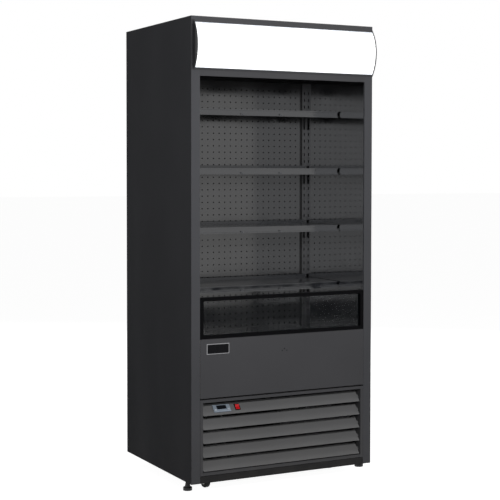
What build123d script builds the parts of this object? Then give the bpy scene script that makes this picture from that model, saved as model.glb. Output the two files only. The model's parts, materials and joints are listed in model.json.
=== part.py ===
from build123d import *
import math
import os

# An upright, open-fronted refrigerated display cabinet. Millimetres, +Z up, the front faces -Y.
# The origin lies on the floor, at the centre of the overall box.

# ---------------------------------------------------------------- cabinet shell
WIDTH = 915.0            # over the two side panels
DEPTH = 735.0            # from the front of the columns to the rear panel
GROUND_GAP = 50.0        # from the floor to the lower edge of the body
SKIN = 1.2               # painted sheet steel
LINER = 1.2              # inner liner sheet
COLUMN = 41.0            # face width of the front columns
JAMB = 14.0              # return of a column into the cabinet
HEM = 20.0               # rear return of a side panel
REAR_FOAM = 40.0
ROOF_FOAM = 60.0
FLOOR_FOAM = 38.0
FRONT_FOAM = 28.0
EDGE_BEND = 1.0          # outer bend radius of the sheet at the columns
FIT = 1.0                # gap at each side of the panels between the columns
CUT = 1.0                # how far a cut runs on past the faces it opens
VENT_ROWS = 9
VENT_PITCH = 22.0
VENT_HEIGHT = 7.0
VENT_LENGTH = 260.0
VENT_SPACING = 340.0
VENT_MARGIN = 40.0       # floor of the machine space to the lowest vent slot

# front elevation, stacked upwards from the lower edge of the body
KICK = 30.0
KICK_JOINT = 2.0
LOUVRE = 330.0
PANEL_JOINT = 7.0
PANEL = 257.0
GUARD = 180.5
OPENING = 953.5
HEADER = 24.0
SIGN = 214.0
TOP_BAND = 16.0

# ---------------------------------------------------------------- display space
BACK_PANEL_DEPTH = 540.0     # front plane to the perforated panel
DECK_BELOW_PANEL_TOP = 36.0  # the deck lies this far under the top of the lower front panel
DECK_FLANGE = 25.0
RETURN_GRILLE_END = 130.0    # front plane to the rear edge of the return air grille
PANEL_PLAY = 0.3             # clearance around the perforated panel
HOLE_RADIUS = 3.25
HOLE_PITCH = 30.0
HOLE_MARGIN = 52.0           # clear strip at the sides of the perforation
HOLE_FIRST = 13.0            # first row above the deck
DISCHARGE_HEIGHT = 20.0
DISCHARGE_DEPTH = 70.0
DISCHARGE_SLOT = 9.0
GRILLE_WEB = 3.0
GRILLE_RIM = 8.0
RETURN_COLUMNS = 2
RETURN_ROWS = 4
BAND_JOINT = 0.6             # gap between the top band and each column

# slotted uprights, brackets and shelves
UPRIGHT_WIDTH = 24.0
UPRIGHT_DEPTH = 12.0
UPRIGHT_WEB = 2.0
SLOT_PITCH = 33.5
SLOT_WIDTH = 5.0
SLOT_HEIGHT = 14.0
SHELF_COUNT = 4
FIRST_SHELF = 240.0          # first shelf above the deck
SLOTS_PER_SHELF = 8
SHELF_FRONT = 218.0          # front plane to the front of the ticket rail
SHELF_DEPTH = 297.0
SHELF_SIDE_GAP = 7.3
SHELF_SHEET = 1.2
SHELF_SIDE_FLANGE = 18.0
SHELF_UPSTAND = 14.0
BRACKET_PLATE = 3.0
BRACKET_BELOW_HOOK = 4.5
BRACKET_TIP = 14.0
BRACKET_ARM = 20.0           # depth of the arm where it meets the heel
BRACKET_HEEL = 12.0          # width of the leg that reaches down to the lower hook
BRACKET_SETBACK = 12.0
HOOK_DROP = 38.0             # underside of a shelf to the lower edge of its upper slot
HOOK_LENGTH = 6.0
HOOK_HEIGHT = 8.0
HOOK_NOSE = 4.0
HOOK_PLAY = 0.3
RAIL_HEIGHT = 29.0
RAIL_DEPTH = 8.0
RAIL_WALL = 1.5
RAIL_LIP = 5.0
RAIL_CLIP = 12.0
RAIL_CLIP_SPACING = 200.0

# ---------------------------------------------------------------- guard, lower panel, badge
GUARD_BAR = 16.0
GUARD_BAR_DEPTH = 22.0
GUARD_GAP = 1.5
GLASS = 5.0
GLASS_GROOVE = 5.0
BADGE_WIDTH = 109.0
BADGE_HEIGHT = 46.0
BADGE_THICK = 1.6
BADGE_BORDER = 3.0
BADGE_RECESS = 0.5
BADGE_LEFT = 73.0            # left edge of the cabinet to the badge
BADGE_DROP = 21.0            # top of the lower panel to the badge
FIXING_HEAD_RADIUS = 2.6
FIXING_HEAD = 1.2
FIXING_SHANK_RADIUS = 1.5
FIXING_SHANK = 8.0
FIXING_DROP = 72.0
FIXING_HALF_SPACING = 12.0
FIXING_MIDDLE_RISE = 8.5
SCREW_RADIUS = 2.4
SCREW_HEAD = 1.0
UPRIGHT_SCREWS = 3
SLOTS_PER_SCREW = 6
CAP_SCREW_INSET = 24.0

# ---------------------------------------------------------------- louvre
LOUVRE_BAR = 13.5
LOUVRE_BAR_TOP = 12.5
LOUVRE_DEPTH = 46.0
LOUVRE_SEAT = 40.0           # length of the two blocks that the louvre stands on
LOUVRE_SEAT_INSET = 60.0
SLAT_COUNT = 5
SLAT_PITCH = 60.6
SLAT_RUN = 42.0
SLAT_RISE = 43.0
SLAT_FIRST = 18.0            # louvre frame's lower edge to the lowest slat
SLAT_SETBACK = 1.5
SLAT_END_GAP = 4.0
SLAT_TAB = 12.0

# controller and rocker switch on the top slat; s is the distance up the slat
CONTROLLER_INSET = 155.5     # cabinet's left side to the controller's middle
CONTROLLER_S = 31.0
CONTROLLER_WIDTH = 82.0
CONTROLLER_HEIGHT = 37.0
BEZEL_PROUD = 4.0
CONTROLLER_WALL = 1.5        # around the key wells
CONTROLLER_BODY_HEIGHT = 29.0
CONTROLLER_BODY_DEPTH = 24.0
DISPLAY_WIDTH = 47.0
DISPLAY_HEIGHT = 20.0
DISPLAY_RISE = 5.0
DISPLAY_THICK = 1.6
KEY_RADIUS = 4.2
KEY_CLEARANCE = 0.1
KEY_SPACING = 63.0
KEY_DROP = 8.0
KEY_PROUD = 1.6
KEY_LENGTH = 5.0
KEY_TRAVEL = 1.0
SWITCH_INSET = 232.5         # cabinet's left side to the switch's middle
SWITCH_S = 32.0
SWITCH_WIDTH = 25.5
SWITCH_HEIGHT = 32.0
SWITCH_PROUD = 2.5
SWITCH_BODY_DEPTH = 22.0
SWITCH_RIM = 3.4
ROCKER_CLEARANCE = 0.4
ROCKER_PIVOT_DEPTH = 3.0
ROCKER_TILT = 10.0
ROCKER_BOTTOM = 6.0

# ---------------------------------------------------------------- light box
SIGN_BULGE = 36.5
SIGN_LIP = 10.5
SIGN_SHELL = 3.5
DIFFUSER = 2.0
END_CAP = 5.0
CAP_FLANGE = 10.5
CAP_FLANGE_GAP = 1.0         # how far the flange stops short of the light box's top and bottom
CANOPY_RECESS = 60.0
LAMP_RADIUS = 8.0
LAMP_SPACING = 96.0
LAMP_SETBACK = 26.0
LAMP_HOLDER = 12.0
LAMP_END_GAP = 14.0

# ---------------------------------------------------------------- base, casters, feet
TRAY_SHEET = 1.5
TRAY_RECESS = 28.0
CASTER_SIDE_INSET = 115.0    # cabinet's side to the swivel axis
CASTER_INSET = 149.0         # front or back of the cabinet to the swivel axis
WHEEL_RADIUS = 25.0
WHEEL_WIDTH = 20.0
WHEEL_SIDE_GAP = 1.0
WHEEL_ROUND = 4.0
TRAIL = 32.0
FORK_LEG = 2.5
FORK_WEB = 4.0
FORK_RADIUS = 22.0
AXLE_RADIUS = 3.0
AXLE_HEAD_RADIUS = 5.0
AXLE_HEAD = 2.0
KINGPIN_RADIUS = 5.0
KINGPIN_HEAD_RADIUS = 8.5
KINGPIN_HEAD = 3.0
RUNNING_CLEARANCE = 0.05
CASTER_PLAY = 0.3
CASTER_PLATE = 3.0
CASTER_PLATE_SIZE = 62.0
FRONT_LEFT_CASTER_TURN = -76.0    # its wheel stands ahead of the swivel, turned a little to the right
FRONT_RIGHT_CASTER_TURN = 90.0    # its wheel trails behind the swivel
LEFT_FOOT_SIDE_INSET = 32.5
LEFT_FOOT_INSET = 110.0
RIGHT_FOOT_SIDE_INSET = 30.5
RIGHT_FOOT_INSET = 52.0
FOOT_TRAVEL = 27.0
FOOT_RADIUS = 20.0
FOOT_PAD = 15.0
FOOT_ROUND = 4.0
FOOT_NECK_RADIUS = 13.0
FOOT_NECK_TOP_RADIUS = 9.0
FOOT_NECK = 19.0
STUD_RADIUS = 5.0
STUD_LENGTH = 82.0
FOOT_NUT_RADIUS = 10.0
FOOT_NUT = 10.0

# ---------------------------------------------------------------- refrigeration
FIN_SHEET = 0.8
FIN_PITCH = 14.0
COIL_TUBE_RADIUS = 5.0
COIL_ROW_PITCH = 26.0
COIL_END_PLATE = 2.0
COIL_BEND_STRAIGHT = 1.0
CONDENSER_WIDTH = 330.0
CONDENSER_HEIGHT = 234.0
CONDENSER_THICK = 52.0
CONDENSER_INSET = 252.5      # cabinet's right side to the condenser's middle
CONDENSER_SETBACK = 64.0
EVAPORATOR_END_GAP = 65.0    # side liner to the coil's end plate
EVAPORATOR_HEIGHT = 130.0
EVAPORATOR_THICK = 160.0
EVAPORATOR_SETBACK = 150.0
SHROUD_SHEET = 2.0
SHROUD_MARGIN = 12.0
FAN_TIP_GAP = 5.0
FAN_HUB_RADIUS = 26.0
FAN_HUB_LENGTH = 24.0
FAN_BLADE = 2.0
FAN_BLADE_PITCH = 32.0
CONDENSER_BLADE_CHORD = 44.0
EVAPORATOR_BLADE_CHORD = 34.0
FAN_BLADES = 5
MOTOR_RADIUS = 32.0
MOTOR_LENGTH = 46.0
MOTOR_GAP = 6.0
STRUT = 6.0
SHAFT_RADIUS = 4.0
SHAFT_INSERT = 18.0
SHAFT_END_GAP = 1.0
CONDENSER_FAN_RADIUS = 100.0
EVAPORATOR_FAN_RADIUS = 62.0
EVAPORATOR_FAN_GAP = 26.0
COMPRESSOR_INSET = 242.5     # cabinet's left side to the compressor's axis
COMPRESSOR_SETBACK = 330.0
COMPRESSOR_RADIUS = 76.0
COMPRESSOR_HEIGHT = 176.0
COMPRESSOR_DOME = 34.0
COMPRESSOR_SEAM = 5.0
COMPRESSOR_BASE = 3.0
COMPRESSOR_BASE_LENGTH = 190.0
COMPRESSOR_BASE_WIDTH = 114.0
TERMINAL_COVER = 25.0
GROMMET_RADIUS = 11.0
GROMMET = 16.0
PIPE_RADIUS = 5.0
PIPE_RISE = 125.0
TRAY_LENGTH = 380.0
TRAY_WIDTH = 190.0
TRAY_HEIGHT = 36.0
TRAY_WALL = 2.0
TRAY_X = 60.0
TRAY_SETBACK = 480.0
BOX_WIDTH = 90.0
BOX_LENGTH = 180.0
BOX_HEIGHT = 150.0
BOX_WALL = 2.0
BOX_INSET = 107.5            # cabinet's right side to the electrical box's middle
BOX_SETBACK = 420.0
GLAND_RADIUS = 9.0
GLAND_LENGTH = 12.0

# ---------------------------------------------------------------- worked-out positions
HALF = WIDTH / 2
INNER = HALF - COLUMN
CASTER_X = HALF - CASTER_SIDE_INSET
LEFT_FOOT_X = HALF - LEFT_FOOT_SIDE_INSET
RIGHT_FOOT_X = HALF - RIGHT_FOOT_SIDE_INSET
CONTROLLER_X = CONTROLLER_INSET - HALF
SWITCH_X = SWITCH_INSET - HALF
COMPRESSOR_X = COMPRESSOR_INSET - HALF
CONDENSER_X = HALF - CONDENSER_INSET
BOX_X = HALF - BOX_INSET
CONTROLLER_BODY_WIDTH = KEY_SPACING + 2 * (KEY_RADIUS + CONTROLLER_WALL)
CLEAR = INNER - LINER                      # half the clear width between the liners
FRONT = -(DEPTH + SIGN_BULGE) / 2 + SIGN_BULGE
BACK = FRONT + DEPTH
BASE = GROUND_GAP
LOUVRE_Z = BASE + KICK + KICK_JOINT
PANEL_Z = LOUVRE_Z + LOUVRE + PANEL_JOINT
GUARD_Z = PANEL_Z + PANEL
OPENING_Z = GUARD_Z + GUARD
HEADER_Z = OPENING_Z + OPENING
SIGN_Z = HEADER_Z + HEADER
BAND_Z = SIGN_Z + SIGN
TOP = BAND_Z + TOP_BAND
DECK = GUARD_Z - DECK_BELOW_PANEL_TOP
FLOOR = PANEL_Z + FLOOR_FOAM               # top of the floor foam
REAR_FOAM_FACE = BACK - SKIN - REAR_FOAM
ROOF_FOAM_FACE = TOP - SKIN - ROOF_FOAM
FRONT_FOAM_FACE = FRONT + SKIN + FRONT_FOAM
BACK_PANEL = FRONT + BACK_PANEL_DEPTH
UPRIGHT_FACE = BACK_PANEL - UPRIGHT_DEPTH
SLOT_X = CLEAR - UPRIGHT_WIDTH / 2
SHELF_HALF = CLEAR - SHELF_SIDE_GAP
SHELF_PITCH = SLOTS_PER_SHELF * SLOT_PITCH
TRAY_FLOOR = BASE + TRAY_RECESS
TRAY_TOP = TRAY_FLOOR + TRAY_SHEET
SIGN_RADIUS = ((SIGN / 2) ** 2 + SIGN_BULGE ** 2) / (2 * SIGN_BULGE)
SIGN_MIDDLE = SIGN_Z + SIGN / 2
SIGN_AXIS_Y = FRONT - SIGN_BULGE + SIGN_RADIUS
SIGN_LEFT = -HALF + CAP_FLANGE
SIGN_RIGHT = HALF
LOUVRE_HALF = INNER - FIT
LOUVRE_CLEAR = LOUVRE_HALF - LOUVRE_BAR
SLAT_ANGLE = math.degrees(math.atan2(SLAT_RISE, SLAT_RUN))


def box(x, y, z):
    """A block from three (low, high) pairs."""
    size = [high - low for low, high in (x, y, z)]
    middle = [(high + low) / 2 for low, high in (x, y, z)]
    return Pos(*middle) * Box(*size)


def rod(centre, radius, length, direction):
    """A cylinder that starts at centre and runs along direction."""
    return extrude(Plane(centre, z_dir=direction) * Circle(radius), length)


def facing_front(x, y, z):
    """An upright plane at a point, facing the front."""
    return Plane((x, y, z), x_dir=(1, 0, 0), z_dir=(0, -1, 0))


def side_plate(points, x, thickness):
    """A plate drawn as (y, z) points, with its low face at x."""
    outline = Polyline(*[(y, z) for y, z in points], close=True)
    return extrude(Plane((x, 0, 0), x_dir=(0, 1, 0), z_dir=(1, 0, 0)) * make_face(outline), thickness)


def across(x, y, angle):
    """The placement of a caster that stands at x, y and is turned by angle."""
    return Pos(x, y, 0) * Rot(0, 0, angle)


def opposite(shape):
    """The mirror image on the other side of the cabinet."""
    return mirror(shape, about=Plane.YZ)


# ---------------------------------------------------------------- cabinet shell
def side_panel():
    """Right side: outer sheet, front column with its jamb, and rear hem, bent from one sheet."""
    height = (BASE, TOP)
    sheet = box((HALF - SKIN, HALF), (FRONT, BACK), height)
    column = box((INNER, HALF), (FRONT, FRONT + SKIN), height)
    jamb = box((INNER, INNER + SKIN), (FRONT, FRONT + JAMB), height)
    hem = box((HALF - HEM, HALF), (BACK - SKIN, BACK), height)
    panel = sheet + column + jamb + hem
    corner = panel.edges().filter_by(Axis.Z).sort_by(lambda e: e.center().Y - e.center().X)[0]
    return fillet(corner, min(EDGE_BEND, SKIN * 0.9))


def side_liner():
    return box((CLEAR, INNER), (FRONT + JAMB / 2, REAR_FOAM_FACE), (PANEL_Z, ROOF_FOAM_FACE))


def insulation():
    """The foam of the two side walls, the rear wall, the roof, the floor and the front wall."""
    side = box((INNER, HALF - SKIN), (FRONT + JAMB, BACK - SKIN), (PANEL_Z, TOP - SKIN))
    rear = box((-INNER, INNER), (REAR_FOAM_FACE, BACK - SKIN), (PANEL_Z, TOP - SKIN))
    roof = box((-INNER, INNER), (FRONT + CANOPY_RECESS, REAR_FOAM_FACE), (ROOF_FOAM_FACE, TOP - SKIN))
    floor = box((-CLEAR, CLEAR), (FRONT_FOAM_FACE, REAR_FOAM_FACE), (PANEL_Z, FLOOR))
    front = box((-CLEAR, CLEAR), (FRONT + SKIN, FRONT_FOAM_FACE), (PANEL_Z + SKIN, GUARD_Z - SKIN))
    for x, z in fixing_points():
        front -= rod((x, FRONT, z), FIXING_SHANK_RADIUS, FIXING_SHANK, (0, 1, 0))
    return [side, opposite(side), rear, roof, floor, front]


def rear_panel():
    """The back sheet, with rows of air slots behind the machine space."""
    panel = box((HEM - HALF, HALF - HEM), (BACK - SKIN, BACK), (BASE, TOP))
    slots = []
    for row in range(VENT_ROWS):
        z = TRAY_TOP + VENT_MARGIN + row * VENT_PITCH
        for side in (-1, 1):
            x = side * VENT_SPACING / 2
            slots.append(box((x - VENT_LENGTH / 2, x + VENT_LENGTH / 2), (BACK - SKIN - CUT, BACK + CUT),
                             (z, z + VENT_HEIGHT)))
    return panel - slots


def rear_and_floor_liner():
    """One bent sheet: up the front wall, across the floor and up the rear wall."""
    width = (-CLEAR, CLEAR)
    rear = box(width, (REAR_FOAM_FACE - LINER, REAR_FOAM_FACE), (FLOOR, ROOF_FOAM_FACE))
    floor = box(width, (FRONT_FOAM_FACE, REAR_FOAM_FACE), (FLOOR, FLOOR + LINER))
    front = box(width, (FRONT_FOAM_FACE, FRONT_FOAM_FACE + LINER), (FLOOR, GUARD_Z - SKIN))
    return rear + floor + front


def roof_panel():
    sheet = box((SKIN - HALF, HALF - SKIN), (FRONT + JAMB, BACK - SKIN), (TOP - SKIN, TOP))
    band = (BAND_JOINT - INNER, INNER - BAND_JOINT)
    sheet += box(band, (FRONT, FRONT + JAMB), (TOP - SKIN, TOP))
    return sheet + box(band, (FRONT, FRONT + SKIN), (BAND_Z, TOP))


def ceiling_liner():
    front = FRONT + CANOPY_RECESS + DISCHARGE_DEPTH
    return box((-CLEAR, CLEAR), (front, BACK_PANEL + PANEL_PLAY + LINER), (SIGN_Z, SIGN_Z + LINER))


def slot_centres(low, high, count):
    """The middles of count equal slots between two rims, and the width of each slot."""
    width = (high - low - 2 * GRILLE_RIM - (count - 1) * GRILLE_WEB) / count
    first = low + GRILLE_RIM + width / 2
    return [first + index * (width + GRILLE_WEB) for index in range(count)], width


def slotted_grid(x, y, z, columns, rows):
    """A plate with rows and columns of equal slots right through it."""
    across, width = slot_centres(*x, columns)
    along, length = slot_centres(*y, rows)
    outline = Wire.make_rect(x[1] - x[0], y[1] - y[0], Plane((sum(x) / 2, sum(y) / 2, z[0])))
    slots = [Wire.make_rect(width, length, Plane((slot_x, slot_y, z[0])))
             for slot_x in across for slot_y in along]
    return extrude(Face(outline, slots), z[1] - z[0], dir=(0, 0, 1))


def air_discharge_grille():
    """The honeycomb of the air curtain, between the canopy and the ceiling."""
    front = FRONT + CANOPY_RECESS
    columns = int((2 * (CLEAR - GRILLE_RIM) + GRILLE_WEB) / (DISCHARGE_SLOT + GRILLE_WEB))
    return slotted_grid((-CLEAR, CLEAR), (front, front + DISCHARGE_DEPTH),
                        (SIGN_Z - DISCHARGE_HEIGHT, SIGN_Z), columns, 1)


def return_grille_depth():
    return FRONT_FOAM_FACE + LINER, FRONT + RETURN_GRILLE_END


def return_air_grille():
    return slotted_grid((-CLEAR, CLEAR), return_grille_depth(), (DECK - SKIN, DECK),
                        RETURN_COLUMNS, RETURN_ROWS)


def perforated_back_panel():
    """The liner in front of the rear air duct, with round holes on a square grid."""
    low = DECK + PANEL_PLAY
    high = SIGN_Z - PANEL_PLAY
    face_y = BACK_PANEL + PANEL_PLAY
    columns = int((CLEAR - HOLE_MARGIN) / HOLE_PITCH)
    rows = int((high - DECK - 2 * HOLE_FIRST) / HOLE_PITCH) + 1
    outline = Wire.make_rect(2 * (CLEAR - PANEL_PLAY), high - low, facing_front(0, face_y, (low + high) / 2))
    holes = []
    for column in range(-columns, columns + 1):
        for row in range(rows):
            centre = facing_front(column * HOLE_PITCH, face_y, DECK + HOLE_FIRST + row * HOLE_PITCH)
            holes.append(Wire.make_circle(HOLE_RADIUS, centre))
    return extrude(Face(outline, holes), LINER, dir=(0, 1, 0))


def deck_pan():
    """The bottom display deck, hung between the side liners."""
    front = FRONT + RETURN_GRILLE_END
    top = box((-CLEAR, CLEAR), (front, BACK_PANEL), (DECK - SKIN, DECK))
    flange = box((-CLEAR, CLEAR), (front, front + SKIN), (DECK - DECK_FLANGE, DECK))
    rear = box((-CLEAR, CLEAR), (BACK_PANEL - SKIN, BACK_PANEL), (DECK - DECK_FLANGE, DECK))
    return top + flange + rear


# ---------------------------------------------------------------- shelves
def shelf_top(index):
    return DECK + FIRST_SHELF + index * SHELF_PITCH


def slot_bottom(index, hook):
    """The lower edge of the slot that a hook of shelf number index rests in."""
    return shelf_top(index) - SHELF_SHEET - HOOK_DROP - SLOT_PITCH * hook


def slotted_upright():
    """Right upright: a channel whose face has a column of slots."""
    x = (CLEAR - UPRIGHT_WIDTH, CLEAR)
    z = (DECK, SIGN_Z)
    web = box(x, (UPRIGHT_FACE, UPRIGHT_FACE + UPRIGHT_WEB), z)
    for edge in (x[0], x[1] - UPRIGHT_WEB):
        web += box((edge, edge + UPRIGHT_WEB), (UPRIGHT_FACE, BACK_PANEL), z)
    lowest = slot_bottom(0, 0)
    below = int((lowest - DECK - SLOT_HEIGHT) / SLOT_PITCH)
    above = int((SIGN_Z - lowest - 2 * SLOT_HEIGHT) / SLOT_PITCH)
    slots = []
    for step in range(-below, above + 1):
        z0 = lowest + step * SLOT_PITCH
        slots.append(box((SLOT_X - SLOT_WIDTH / 2, SLOT_X + SLOT_WIDTH / 2),
                         (UPRIGHT_FACE - CUT, UPRIGHT_FACE + UPRIGHT_WEB + CUT), (z0, z0 + SLOT_HEIGHT)))
    return web - slots


def shelf_bracket(index):
    """Right bracket: a slim arm with a leg at the rear, and two hooks in the slots of the upright."""
    top = shelf_top(index) - SHELF_SHEET
    tip = FRONT + SHELF_FRONT + RAIL_DEPTH + BRACKET_SETBACK
    x = SLOT_X - BRACKET_PLATE / 2
    heel = slot_bottom(index, 1) - BRACKET_BELOW_HOOK
    leg = UPRIGHT_FACE - BRACKET_HEEL
    points = [(tip, top), (UPRIGHT_FACE, top), (UPRIGHT_FACE, heel), (leg, heel),
              (leg, top - BRACKET_ARM), (tip, top - BRACKET_TIP)]
    bracket = side_plate(points, x, BRACKET_PLATE)
    for hook in (0, 1):
        low = slot_bottom(index, hook)
        high = low + HOOK_HEIGHT
        start = UPRIGHT_FACE - CUT
        behind = UPRIGHT_FACE + UPRIGHT_WEB + HOOK_PLAY
        end = UPRIGHT_FACE + HOOK_LENGTH
        hook_points = [(start, low), (behind, low), (behind, low - HOOK_NOSE), (end, low - HOOK_NOSE),
                       (end, high), (start, high)]
        bracket += side_plate(hook_points, x, BRACKET_PLATE)
    return bracket


def shelf_tray(index):
    """A shelf pan: top, front and side flanges turned down, rear upstand turned up."""
    top = shelf_top(index)
    front = FRONT + SHELF_FRONT + RAIL_DEPTH
    rear = FRONT + SHELF_FRONT + SHELF_DEPTH
    width = (-SHELF_HALF, SHELF_HALF)
    tray = box(width, (front, rear), (top - SHELF_SHEET, top))
    tray += box(width, (front, front + SHELF_SHEET), (top - RAIL_HEIGHT, top))
    tray += box(width, (rear - SHELF_SHEET, rear), (top - SHELF_SHEET, top + SHELF_UPSTAND))
    side = box((SHELF_HALF - SHELF_SHEET, SHELF_HALF), (front, rear), (top - SHELF_SIDE_FLANGE, top))
    return tray + side + opposite(side)


def ticket_rail(index):
    """The price rail on a shelf's front: a shallow channel with two clips."""
    top = shelf_top(index)
    low = top - RAIL_HEIGHT
    front = FRONT + SHELF_FRONT
    rear = front + RAIL_DEPTH
    width = (-SHELF_HALF, SHELF_HALF)
    rail = box(width, (rear - RAIL_WALL, rear), (low, top))
    for edge in (low, top - RAIL_WALL):
        rail += box(width, (front, rear), (edge, edge + RAIL_WALL))
    rail += box(width, (front, front + RAIL_WALL), (low, low + RAIL_LIP))
    rail += box(width, (front, front + RAIL_WALL), (top - RAIL_LIP, top))
    for side in (-1, 1):
        x = side * RAIL_CLIP_SPACING / 2
        rail += box((x - RAIL_CLIP / 2, x + RAIL_CLIP / 2), (front, rear), (low, low + RAIL_LIP * 2))
    return rail


# ---------------------------------------------------------------- front below the opening
def guard_frame():
    half = INNER - GUARD_GAP
    outer = box((-half, half), (FRONT, FRONT + GUARD_BAR_DEPTH), (GUARD_Z, OPENING_Z))
    hole = box((GUARD_BAR - half, half - GUARD_BAR), (FRONT - CUT, FRONT + GUARD_BAR_DEPTH + CUT),
               (GUARD_Z + GUARD_BAR, OPENING_Z - GUARD_BAR))
    return outer - hole - guard_glass()


def guard_glass():
    half = INNER - GUARD_GAP - GUARD_BAR + GLASS_GROOVE
    middle = FRONT + GUARD_BAR_DEPTH / 2
    rim = GUARD_BAR - GLASS_GROOVE
    return box((-half, half), (middle - GLASS / 2, middle + GLASS / 2), (GUARD_Z + rim, OPENING_Z - rim))


def fixing_points():
    z = GUARD_Z - FIXING_DROP
    return [(-FIXING_HALF_SPACING, z), (0, z + FIXING_MIDDLE_RISE), (FIXING_HALF_SPACING, z)]


def lower_front_panel():
    """The panel of the insulated front wall, with top and bottom returns."""
    half = INNER - FIT
    face = box((-half, half), (FRONT, FRONT + SKIN), (PANEL_Z, GUARD_Z))
    face += box((-CLEAR, CLEAR), (FRONT, FRONT_FOAM_FACE), (PANEL_Z, PANEL_Z + SKIN))
    face += box((-CLEAR, CLEAR), (FRONT, FRONT_FOAM_FACE + LINER), (GUARD_Z - SKIN, GUARD_Z))
    for x, z in fixing_points():
        face -= rod((x, FRONT - CUT, z), FIXING_SHANK_RADIUS, SKIN + 2 * CUT, (0, 1, 0))
    return face


def panel_fixings():
    """Three fixings on the lower panel, the screws of the uprights and those of the light box's flange."""
    fixings = []
    first = slot_bottom(1, 1) - (SLOT_PITCH - SLOT_HEIGHT) / 2
    for step in range(UPRIGHT_SCREWS):
        z = first + step * SLOTS_PER_SCREW * SLOT_PITCH
        for side in (-1, 1):
            centre = (side * SLOT_X, UPRIGHT_FACE - SCREW_HEAD, z)
            fixings.append(rod(centre, SCREW_RADIUS, SCREW_HEAD, (0, 1, 0)))
    for z in (SIGN_Z + CAP_SCREW_INSET, BAND_Z - CAP_SCREW_INSET):
        centre = (SIGN_LEFT - CAP_FLANGE / 2, FRONT - SKIN - SCREW_HEAD, z)
        fixings.append(rod(centre, SCREW_RADIUS, SCREW_HEAD, (0, 1, 0)))
    for x, z in fixing_points():
        head = rod((x, FRONT - FIXING_HEAD, z), FIXING_HEAD_RADIUS, FIXING_HEAD, (0, 1, 0))
        fixings.append(head + rod((x, FRONT - FIXING_HEAD, z), FIXING_SHANK_RADIUS,
                                  FIXING_HEAD + FIXING_SHANK, (0, 1, 0)))
    return fixings


def badge_plate():
    """A blank plate with a raised border."""
    left = -HALF + BADGE_LEFT
    high = GUARD_Z - BADGE_DROP
    x = (left, left + BADGE_WIDTH)
    z = (high - BADGE_HEIGHT, high)
    plate = box(x, (FRONT - BADGE_THICK, FRONT), z)
    plate = chamfer(plate.faces().sort_by(Axis.Y)[0].edges(), BADGE_THICK / 2)
    inner_x = (x[0] + BADGE_BORDER, x[1] - BADGE_BORDER)
    inner_z = (z[0] + BADGE_BORDER, z[1] - BADGE_BORDER)
    front = FRONT - BADGE_THICK
    return plate - box(inner_x, (front - CUT, front + BADGE_RECESS), inner_z)


# ---------------------------------------------------------------- louvre and controls
def louvre_frame():
    """A face frame with a return behind each bar, which carries the slats and stands on the tray."""
    z = (LOUVRE_Z, LOUVRE_Z + LOUVRE)
    outer = box((-LOUVRE_HALF, LOUVRE_HALF), (FRONT, FRONT + LOUVRE_DEPTH), z)
    clear_z = (z[0] + LOUVRE_BAR_TOP, z[1] - LOUVRE_BAR_TOP)
    hole = box((-LOUVRE_CLEAR, LOUVRE_CLEAR), (FRONT - CUT, FRONT + LOUVRE_DEPTH + CUT), clear_z)
    hollow = box((SKIN - LOUVRE_HALF, LOUVRE_HALF - SKIN), (FRONT + SKIN, FRONT + LOUVRE_DEPTH + CUT),
                 (z[0] + SKIN, z[1] - SKIN))
    lining = box((-LOUVRE_CLEAR - SKIN, LOUVRE_CLEAR + SKIN), (FRONT, FRONT + LOUVRE_DEPTH),
                 (clear_z[0] - SKIN, clear_z[1] + SKIN))
    frame = (outer - hollow) + (lining - hole) - hole
    for side in (-1, 1):
        x = side * (LOUVRE_CLEAR - LOUVRE_SEAT_INSET)
        frame += box((x - LOUVRE_SEAT / 2, x + LOUVRE_SEAT / 2), (FRONT + JAMB, FRONT + LOUVRE_DEPTH),
                     (TRAY_TOP, z[0] + SKIN))
    return frame


def slat_z(index):
    return LOUVRE_Z + SLAT_FIRST + index * SLAT_PITCH


def slat_section(index, low, high):
    """The section of a slat between two distances up its slope."""
    front = FRONT + SLAT_SETBACK
    z = slat_z(index)
    length = math.hypot(SLAT_RUN, SLAT_RISE)
    up = (SLAT_RUN / length, SLAT_RISE / length)
    back = (up[1] * SKIN, -up[0] * SKIN)
    points = []
    for s, t in ((low, 0), (high, 0), (high, 1), (low, 1)):
        points.append((front + up[0] * s + back[0] * t, z + up[1] * s + back[1] * t))
    return points


def louvre_slats():
    """Five sloping slats, each with a narrow tab at both ends; the top one has two cut-outs."""
    length = math.hypot(SLAT_RUN, SLAT_RISE)
    half = LOUVRE_CLEAR - SLAT_END_GAP
    slats = []
    for index in range(SLAT_COUNT):
        slat = side_plate(slat_section(index, 0, length), -half, 2 * half)
        tab = ((length - SLAT_TAB) / 2, (length + SLAT_TAB) / 2)
        slat += side_plate(slat_section(index, *tab), -LOUVRE_CLEAR, 2 * LOUVRE_CLEAR)
        slats.append(slat)
    cuts = [on_slat(CONTROLLER_X, CONTROLLER_S, CONTROLLER_BODY_WIDTH, CONTROLLER_BODY_HEIGHT,
                    -SKIN - CUT, CUT),
            on_slat(SWITCH_X, SWITCH_S, *switch_body_size(), -SKIN - CUT, CUT)]
    slats[-1] = slats[-1] - cuts
    return slats


def slat_plane():
    """The outer face of the top slat: x across, y up the slope, z outwards."""
    origin = (0, FRONT + SLAT_SETBACK, slat_z(SLAT_COUNT - 1))
    return Plane(origin, x_dir=(1, 0, 0), z_dir=(0, -SLAT_RISE, SLAT_RUN))


def on_slat(x, s, width, height, low, high):
    """A block on the top slat, from low to high along its normal."""
    sketch = Pos(x, s, low) * Rectangle(width, height)
    return extrude(slat_plane() * sketch, high - low, dir=slat_plane().z_dir)


def pin_on_slat(x, s, radius, low, high):
    """A round pin on the top slat, from low to high along its normal."""
    return extrude(slat_plane() * (Pos(x, s, low) * Circle(radius)), high - low, dir=slat_plane().z_dir)


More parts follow.
